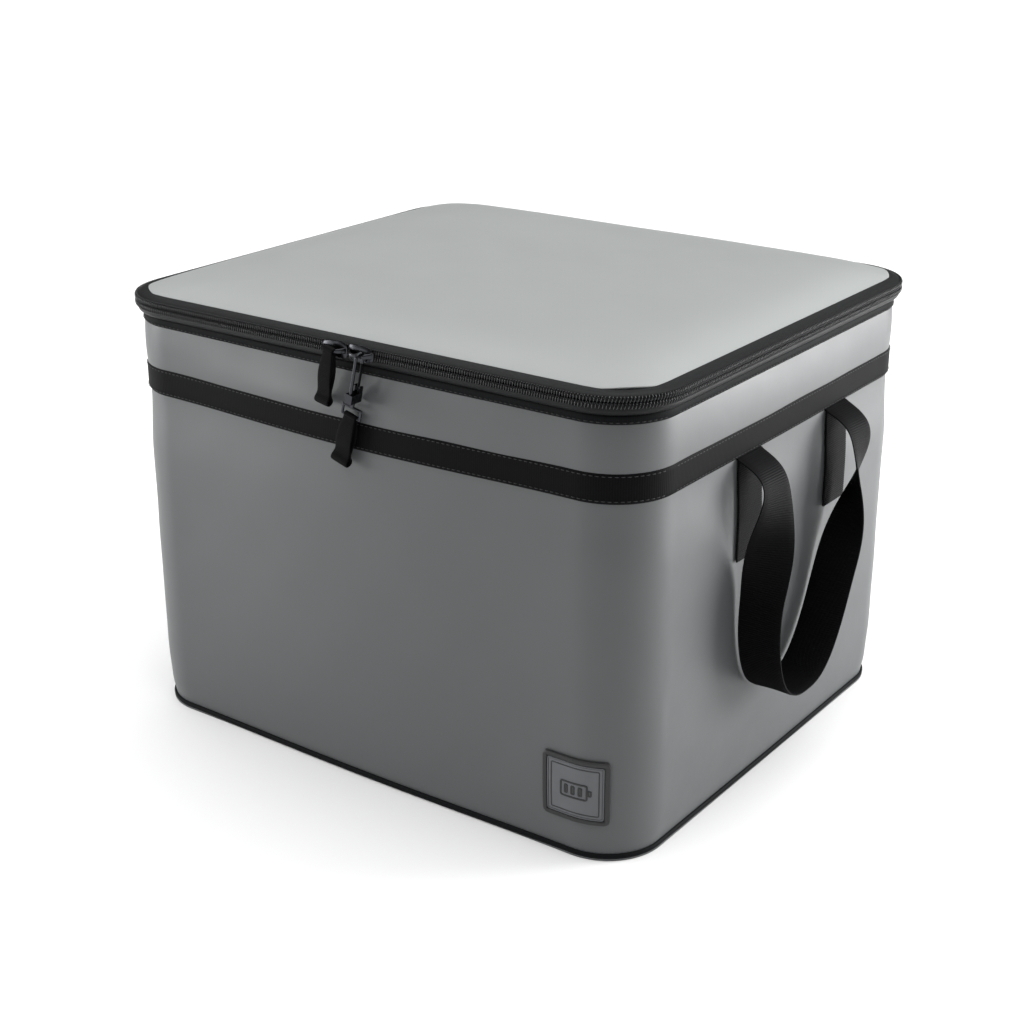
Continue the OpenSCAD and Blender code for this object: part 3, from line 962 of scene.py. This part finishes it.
def handle(name, side, node_names):
    """A webbing strip swept along the path: its width lies along the bag at the sewn ends
    and turns to point away from the wall at the foot, and its faces carry the ribs as
    waves one rib pitch long. side is 1 for the right and -1 for the left."""
    width, thick = mm(sizes().webbing), mm(sizes().webbing_thick)
    pitch = mm(sizes().rib_pitch)
    path, far = handle_path(1500)
    along = unit(np.gradient(path, axis=0))
    out = square_to(np.array([1.0, 0, 0]), along)
    across = np.cross(out, along)
    depth = HANDLE["top"] - path[:, 2]
    turn = math.pi / 2 * ease((depth - HANDLE["turn_start"]) / HANDLE["run"])
    wide = across * np.cos(turn)[:, None] + out * np.sin(turn)[:, None]
    face = np.cross(along, wide)
    a = np.linspace(-1, 1, 13)
    half = thick / 2 * (1 - 0.55 * np.abs(a) ** 12)
    rib = 0.11 * np.cos(2 * math.pi * far / pitch)[:, None] * (1 - np.abs(a) ** 10)[None, :]
    dish = 0.7 * (a ** 2 - 0.3) * ease(depth / 30)[:, None]
    spread = np.concatenate([a, a[::-1]])
    level = np.concatenate([half[None, :] + rib + dish, (-half[None, :] - rib + dish)[:, ::-1]], 1)
    grid = (path[:, None, :] + wide[:, None, :] * (spread * width / 2)[None, :, None]
            + face[:, None, :] * level[..., None])
    grid[..., 0] *= side
    section = np.stack([spread * width / 2, level[0]], 1)
    piece = grid_mesh(name, grid, wrap_v=True, caps=True, along=far,
                      across=arc_lengths(section, True), sharp=60)
    dress(piece, material("webbing"), None, node_names)
    for end, sign in (("front", -1), ("back", 1)):
        tail(name + "_tail_" + end, side, HANDLE["middle"] + sign * HANDLE["half"])
    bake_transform(piece)


def tail(name, side, middle):
    """The webbing's sewn end: a flat strip down the wall behind the arch."""
    samples = 300
    z = np.linspace(BAND_Z0 - 0.4, BAND_Z0 - 68, samples)
    x = HALF_W + puff(z) + bow_share(z) * mm(sizes().side_bow) + 1.0
    path = np.stack([side * x, np.full(samples, middle), z], 1)
    ribs = 0.1 * np.cos(2 * math.pi * (z[0] - z) / mm(sizes().rib_pitch))
    piece = sweep(name, path, mm(sizes().webbing) / 2, 0.7, (0, 1, 0), round_=6.0, ribs=ribs)
    dress(piece, material("webbing"), "bag")


class BAG_OT_handles(bpy.types.Operator):
    """Build the two webbing carrying handles"""
    bl_idname = "bag.handles"
    bl_label = "Handles"

    def execute(self, context):
        for name, side in (("right", 1), ("left", -1)):
            handle("handle_" + name + "_webbing", side,
                   ["handle_root_" + name, "handle_loop_" + name])
        return {"FINISHED"}


# Sliders, pulls and hook --------------------------------------------------------------
def sweep(name, path, half_wide, half_thick, wide_axis, closed=False, round_=3.0, ribs=0.0):
    """A strap or rod along a path: its section is a superellipse, half_wide along
    wide_axis and half_thick across it, each of which may change along the path. ribs add
    to the thickness at each point of the path."""
    path = np.asarray(path, float)
    step = np.roll(path, -1, 0) - np.roll(path, 1, 0) if closed else np.gradient(path, axis=0)
    along = unit(step)
    wide = square_to(np.asarray(wide_axis, float), along)
    thin = np.cross(along, wide)
    angle = np.linspace(0, 2 * math.pi, 20, endpoint=False)
    c, s = np.cos(angle), np.sin(angle)
    w = signed_power(c, 2 / round_)
    t = signed_power(s, 2 / round_)
    half_wide = np.broadcast_to(half_wide, (len(path),))[:, None, None]
    half_thick = np.broadcast_to(half_thick, (len(path),)) + ribs
    grid = (path[:, None, :] + wide[:, None, :] * half_wide * w[None, :, None]
            + thin[:, None, :] * half_thick[:, None, None] * t[None, :, None])
    far = arc_lengths(path, closed)
    section = np.stack([w * float(half_wide[0, 0, 0]), t * float(half_thick[0])], 1)
    return grid_mesh(name, grid, wrap_u=closed, wrap_v=True, caps=not closed, along=far,
                     across=arc_lengths(section, True), sharp=60)


def lean(points, pivot, degrees):
    """Turns points, given from the pivot, about the Y axis and sets them at the pivot."""
    a = math.radians(degrees)
    p = np.asarray(points, float)
    x = p[..., 0] * math.cos(a) + p[..., 2] * math.sin(a)
    z = -p[..., 0] * math.sin(a) + p[..., 2] * math.cos(a)
    return np.stack([x, p[..., 1], z], -1) + np.asarray(pivot)


def pull_loop(name, pivot, degrees, width, drop, eye_r, end_r, body, node_name):
    """A pull of folded webbing: one closed loop that goes round the bar above, opens into
    two plies, is pinched by a seam, and opens again round its stuffed end."""
    # Half the webbing's thickness, and half the gap of the plies when open and at the seam.
    ply = 0.55
    gap = 2.1
    pinch = 0.62
    eye = eye_r + ply
    end_z = -(drop - end_r)
    over = np.radians([-40, 0, 45, 90, 135, 180, 220])
    top = [[eye * math.cos(a), eye * math.sin(a)] for a in over]
    left = [[-gap, -drop * 0.28], [-gap, -drop * 0.5], [-pinch, end_z + end_r + 2.4]]
    under = np.radians([150, 190, 230, 270, 310, 350, 390])
    end = [[(end_r - ply) * math.cos(a), end_z + (end_r - ply) * math.sin(a)] for a in under]
    right = [[pinch, end_z + end_r + 2.4], [gap, -drop * 0.5], [gap, -drop * 0.28]]
    flat = smooth_path(top + left + end + right, 260, closed=True)
    local = np.stack([np.zeros(len(flat)), flat[:, 0], flat[:, 1]], 1)
    path = lean(local, pivot, degrees)
    axis = lean(np.array([1.0, 0, 0]), [0, 0, 0], degrees)
    far = arc_lengths(local, True)[:-1]
    ribs = 0.06 * np.cos(2 * math.pi * far / PULL_RIB)
    narrow = 1 - 0.24 * np.exp(-((local[:, 2] + eye_r) / 7.0) ** 2)
    flare = 1 + 0.10 * np.exp(-((local[:, 2] - end_z) / 4.0) ** 2)
    piece = sweep(name, path, width / 2 * narrow * flare, ply, axis, closed=True, round_=5.0,
                  ribs=ribs)
    return dress(piece, material("pull"), body, [node_name])


def slider_plate(name, centre, half_l, half_h, y_out, thick, taper):
    """A slider's plate: a superellipse that narrows towards its tail, domed towards its
    rim over concentric rings, front and back."""
    angle = np.linspace(0, 2 * math.pi, 48, endpoint=False)
    c, s = np.cos(angle), np.sin(angle)
    x = signed_power(c, 0.62) * half_l
    z = signed_power(s, 0.62) * half_h * (1 - taper * x / half_l)
    scale = np.array([0.02, 0.5, 0.86, 0.96, 1.0, 0.96, 0.5, 0.02])
    level = np.array([0.0, 0.0, 0.1, 0.35, 0.5, 1.0, 1.0, 1.0]) * thick
    grid = np.stack([centre[0] + x[:, None] * scale, np.full((48, 8), y_out) + level[None, :],
                     centre[1] + z[:, None] * scale], -1)
    return grid_mesh(name, grid, wrap_u=True, sharp=50)


def join(name, pieces):
    """Several meshes as one piece."""
    whole = bmesh.new()
    for piece in pieces:
        whole.from_mesh(piece.data)
        bpy.data.objects.remove(piece)
    mesh = bpy.data.meshes.new(name)
    bmesh.ops.remove_doubles(whole, verts=whole.verts, dist=0.00002)
    whole.to_mesh(mesh)
    whole.free()
    return finish_mesh(add_object(name, mesh), True, 45)


def slider(name, node_name, tail):
    """A zip slider: two domed plates, the neck between the coil rows and an arched bridge
    whose height is 1 - |t|^3.2 of its reach. tail is the end that narrows, 1 or -1."""
    low, high = node_box(node_name)
    mid_x = (low[0] + high[0]) / 2
    half_l = (high[0] - low[0]) / 2
    front = HALF_D + ZIP_OUT + COIL_R + 0.4
    behind = -front + 2 * COIL_R + 0.8
    middle = (mid_x, ZIP_Z)
    plate = slider_plate("plate", middle, half_l, 5.4, -front - 1.3, 1.3, 0.12 * tail)
    back = slider_plate("back", middle, half_l, 3.9, behind, 1.2, 0.10 * tail)
    t = np.linspace(-1, 1, 41)
    reach = -low[1] - front - 1.3 - 0.9
    rise = (reach + 0.6) * (1 - np.abs(t) ** 3.2)
    arch = np.stack([mid_x + t * half_l * 0.86, -(front + 0.7 + rise), np.full(41, ZIP_Z)], 1)
    bridge = sweep("bridge", arch, 0.95 + 1.0 * np.abs(t) ** 2, 0.8, (0, 0, 1), round_=3.0)
    neck_x = mid_x - tail * (half_l - 2.0)
    neck_y = np.linspace(-front - 0.6, -front + 3.6, 6)
    neck_path = np.stack([np.full(6, neck_x), neck_y, np.full(6, ZIP_Z)], 1)
    neck = sweep("neck", neck_path, 1.9, 0.38, (1, 0, 0), round_=4.0)
    piece = join(name, [plate, back, bridge, neck])
    return dress(piece, material("gunmetal"), node_name, [node_name])


class BAG_OT_sliders(bpy.types.Operator):
    """Build both zip sliders and the left webbing pull"""
    bl_idname = "bag.sliders"
    bl_label = "Sliders and pull"

    def execute(self, context):
        slider("slider_left_cast", "slider_left", -1)
        slider("slider_right_cast", "slider_right", 1)
        pivot = joint_place("pull_left_swing")
        pull_loop("pull_left_webbing", pivot, 11, width=10, drop=36, eye_r=1.5, end_r=2.9,
                  body="pull_left", node_name="pull_left")
        return {"FINISHED"}


class BAG_OT_hook(bpy.types.Operator):
    """Build the snap hook's webbing tab and finish its metal parts"""
    bl_idname = "bag.hook"
    bl_label = "Snap hook"

    def execute(self, context):
        pivot = joint_place("hook_swing")
        degrees = 13.0
        eye_bar = lean(np.array([0.0, 0.0, -40.0]), pivot, degrees)
        pull_loop("hook_tab_webbing", eye_bar, degrees + 4, width=12, drop=34, eye_r=1.0,
                  end_r=3.1, body="hook_swivel", node_name="hook_tab")
        for name, key in (("hook_frame", "gunmetal"), ("hook_eye", "gunmetal"),
                          ("hook_gate", "black_metal"), ("hook_gate_pin", "gunmetal")):
            coat(name, key)
        return {"FINISHED"}


def coat(node_name, key):
    """Gives a carried-over CAD node its material."""
    node = frame["nodes"][node_name]
    if not node.material_slots:
        node.data.materials.append(material(key))
    for place in node.material_slots:
        place.material = material(key)


class BAG_OT_padding(bpy.types.Operator):
    """Finish the base, board and foam that stay inside the walls"""
    bl_idname = "bag.padding"
    bl_label = "Base and padding"

    def execute(self, context):
        for name, key in (("base_panel", "fabric"), ("base_board", "board"), ("base_foam", "foam"),
                          ("wall_foam", "foam"), ("lid_foam", "foam")):
            coat(name, key)
        return {"FINISHED"}


# Badge --------------------------------------------------------------------------------
def on_front(s, z, out):
    """A point on the front wall: s runs along the wall from its middle, straight and then
    round the corner, z is the height and out the distance from the cloth."""
    radius = mm(sizes().corner)
    half = HALF_W - radius
    turn = np.clip((s - half) / radius, 0, None)
    q = np.clip(s / half, -1, 1)
    swell = mm(sizes().front_bow) * (1 - q * q) ** 2 * bow_share(z)
    reach = radius + out + swell + puff(z)
    x = np.minimum(s, half) + reach * np.sin(turn)
    y = -(HALF_D - radius) - reach * np.cos(turn)
    return np.stack([x, y, z], -1)


def rounded_square(half, corner):
    """A closed square path with round corners, as (across, up) points from its middle."""
    a = np.linspace(0, math.pi / 2, 7)
    arcs = []
    for k in range(4):
        cx = (half - corner) * (1 if k in (0, 3) else -1)
        cz = (half - corner) * (1 if k < 2 else -1)
        t = a + k * math.pi / 2
        arcs.append(np.stack([cx + corner * np.cos(t), cz + corner * np.sin(t)], 1))
    return resample(np.concatenate(arcs), 160, closed=True)[0]


def raised_ring(name, path, middle, half_wide, low, high, key):
    """A raised moulding along a closed path on the front wall, with rounded shoulders."""
    normal = right_of(np.roll(path, -1, 0) - np.roll(path, 1, 0))
    side = np.array([-1.0, -1.0, -0.85, -0.5, 0.5, 0.85, 1.0, 1.0]) * half_wide
    rise = low + np.array([0.0, 0.7, 0.93, 1.0, 1.0, 0.93, 0.7, 0.0]) * (high - low)
    flat = path[:, None, :] + normal[:, None, :] * side[None, :, None]
    out = np.broadcast_to(rise, flat.shape[:2])
    grid = on_front(middle[0] + flat[..., 0], middle[1] + flat[..., 1], out)
    piece = grid_mesh(name, grid, wrap_u=True, wrap_v=True, sharp=60)
    return dress(piece, material(key), "bag")


def raised_slab(name, half, corner, middle, low, high, key):
    """A moulded slab: rings from its middle to a rounded shoulder and down to the cloth."""
    path = rounded_square(half, corner)
    scale = np.array([0.05, 0.3, 0.6, 0.85, 0.965, 0.99, 1.0, 1.0])
    rise = low + np.array([1.0, 1.0, 1.0, 1.0, 1.0, 0.9, 0.6, 0.0]) * (high - low)
    flat = path[:, None, :] * scale[None, :, None]
    out = np.broadcast_to(rise, flat.shape[:2])
    grid = on_front(middle[0] + flat[..., 0], middle[1] + flat[..., 1], out)
    grid = grid[:, ::-1]
    centre = on_front(np.array(middle[0]), np.array(middle[1]), np.array(high))
    piece = grid_mesh(name, grid, wrap_u=True, pole=centre, sharp=60)
    bottom = bmesh.new()
    bottom.from_mesh(piece.data)
    bmesh.ops.holes_fill(bottom, edges=[e for e in bottom.edges if e.is_boundary])
    bmesh.ops.recalc_face_normals(bottom, faces=bottom.faces)
    bottom.to_mesh(piece.data)
    bottom.free()
    return dress(piece, material(key), "bag")


class BAG_OT_badge(bpy.types.Operator):
    """Build the square rubber badge with a plain battery sign"""
    bl_idname = "bag.badge"
    bl_label = "Badge"

    def execute(self, context):
        low, high = node_box("badge_backing")
        size = high[2] - low[2]
        radius = mm(sizes().corner)
        half_wall = HALF_W - radius
        past = math.asin((high[0] - half_wall) / radius) * radius
        middle = ((low[0] + half_wall + past) / 2, (low[2] + high[2]) / 2)
        half = size / 2
        slab = raised_slab("badge_backing_rubber", half, 2.5, middle, -0.2, 1.0, "rubber")
        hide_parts("badge_backing")
        rim = raised_ring("badge_rim_rubber", rounded_square(half - 1.6, 1.8), middle, 1.5,
                          0.6, 2.1, "rubber")
        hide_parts("badge_frame")
        face = raised_slab("badge_face_rubber", half - 4.4, 0.8, middle, 0.8, 1.5, "badge")
        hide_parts("badge_face")
        raised_ring("badge_border_light", rounded_square(half - 3.9, 1.0), middle, 0.4, 0.8, 1.75,
                    "badge")
        raised_ring("badge_border_dark", rounded_square(half - 6.4, 0.6), middle, 0.35, 1.2, 1.75,
                    "rubber")
        self.sign(middle)
        return {"FINISHED"}

    def sign(self, middle):
        """A battery outline with its terminal and three level bars."""
        case = rounded_square(1.0, 0.16) * np.array([8.5, 5.0])
        raised_ring("badge_sign_case", case, middle, 0.55, 1.2, 1.95, "rubber")
        knob = rounded_square(1.0, 0.3) * np.array([0.75, 1.6])
        raised_ring("badge_sign_terminal", knob, (middle[0] + 10.2, middle[1]), 0.5, 1.2, 1.95,
                    "rubber")
        for k, label in enumerate(("first", "second", "third")):
            bar = rounded_square(1.0, 0.3) * np.array([0.8, 2.6])
            raised_ring("badge_sign_bar_" + label, bar, (middle[0] - 4.8 + 4.6 * k, middle[1]), 0.6,
                        1.2, 1.9, "rubber")


# Studio -------------------------------------------------------------------------------
CAMERA = {"place": (0.6957, -0.9775, 0.6063), "target": (-0.0097, 0.0, 0.1305), "lens": 63.04}
# Each softbox's name, place, target, side in metres and watts.
SOFTBOXES = (("front_left_box", (-1.9, -1.2, 0.35), (-0.2, 0, 0.15), 1.0, 34),
             ("right_back_box", (1.3, 1.2, 0.35), (0.2, 0.12, 0.18), 0.8, 40))


def softbox(name, place, target, size, watts):
    """A square area light aimed at a point."""
    data = bpy.data.lights.new(name, "AREA")
    data.shape = "SQUARE"
    data.size = size
    data.energy = watts
    aim(add_object(name, data), place, target)


def aim(obj, place, target):
    """Puts an object at a place, its -Z axis towards a target."""
    obj.location = place
    heading = Vector(target) - Vector(place)
    obj.rotation_euler = heading.to_track_quat("-Z", "Y").to_euler()


class BAG_OT_stage(bpy.types.Operator):
    """Build the floor, the lights and the camera"""
    bl_idname = "bag.stage"
    bl_label = "Studio"

    def execute(self, context):
        scene = context.scene
        self.floor()
        self.lights()
        world = bpy.data.worlds.new("studio_white")
        world.use_nodes = True
        background = world.node_tree.nodes["Background"]
        background.inputs["Color"].default_value = (1, 1, 1, 1)
        background.inputs["Strength"].default_value = 0.11
        scene.world = world
        camera = add_object("camera", bpy.data.cameras.new("camera"))
        camera.data.lens = CAMERA["lens"]
        camera.data.sensor_width = 36.0
        aim(camera, CAMERA["place"], CAMERA["target"])
        scene.camera = camera
        scene.view_settings.view_transform = "Standard"
        return {"FINISHED"}

    def floor(self):
        """A wide level disc, as rings of a polar grid."""
        radius = np.concatenate([[0.2], np.linspace(1000, 12000, 12)])
        angle = np.linspace(0, 2 * math.pi, 64, endpoint=False)
        grid = np.stack([np.cos(angle)[:, None] * radius, np.sin(angle)[:, None] * radius,
                         np.full((64, len(radius)), -0.3)], -1)
        sweep_floor = grid_mesh("floor", grid, wrap_u=True)
        white, tree, shader = new_material("studio_paint_white")
        base = linear(bpy.context.scene.bag_colours.floor)
        paint(tree, shader, noise(tree, object_place(tree), 300), tinted(base, 0.985), base)
        set_shader(shader, Roughness=0.9)
        sweep_floor.data.materials.append(white)

    def lights(self):
        """A wide soft light from above, a box at the front left and one at the right back."""
        data = bpy.data.lights.new("overhead", "SUN")
        data.energy = 3.9
        data.angle = math.radians(100)
        aim(add_object("overhead", data), (0.2, 0.25, 3.0), (0, 0, 0))
        for box in SOFTBOXES:
            softbox(*box)


class BAG_PT_panel(bpy.types.Panel):
    """Lists the builders in the 3D view's sidebar"""
    bl_idname = "BAG_PT_panel"
    bl_label = "Battery Bag"
    bl_space_type = "VIEW_3D"
    bl_region_type = "UI"
    bl_category = "Battery Bag"

    def draw(self, context):
        layout = self.layout
        for group in (context.scene.bag_sizes, context.scene.bag_colours):
            box = layout.box()
            for key in group.__annotations__:
                box.prop(group, key)
        for builder in BUILDERS:
            layout.operator(builder.bl_idname)


BUILDERS = (BAG_OT_stage, BAG_OT_walls, BAG_OT_bands, BAG_OT_zip, BAG_OT_lid, BAG_OT_lining,
            BAG_OT_handles, BAG_OT_sliders, BAG_OT_hook, BAG_OT_padding, BAG_OT_badge)
CLASSES = (BagSizes, BagColours) + BUILDERS + (BAG_PT_panel,)


def register():
    """Registers the classes and the two groups of settings."""
    for cls in CLASSES:
        bpy.utils.register_class(cls)
    bpy.types.Scene.bag_sizes = bpy.props.PointerProperty(type=BagSizes)
    bpy.types.Scene.bag_colours = bpy.props.PointerProperty(type=BagColours)


def unregister():
    """Undoes register."""
    del bpy.types.Scene.bag_colours
    del bpy.types.Scene.bag_sizes
    for cls in reversed(CLASSES):
        bpy.utils.unregister_class(cls)


def main():
    """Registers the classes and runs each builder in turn."""
    register()
    bpy.ops.bag.stage()
    bpy.ops.bag.walls()
    bpy.ops.bag.bands()
    bpy.ops.bag.zip()
    bpy.ops.bag.lid()
    bpy.ops.bag.lining()
    bpy.ops.bag.handles()
    bpy.ops.bag.sliders()
    bpy.ops.bag.hook()
    bpy.ops.bag.padding()
    bpy.ops.bag.badge()


if __name__ == "__main__":
    main()
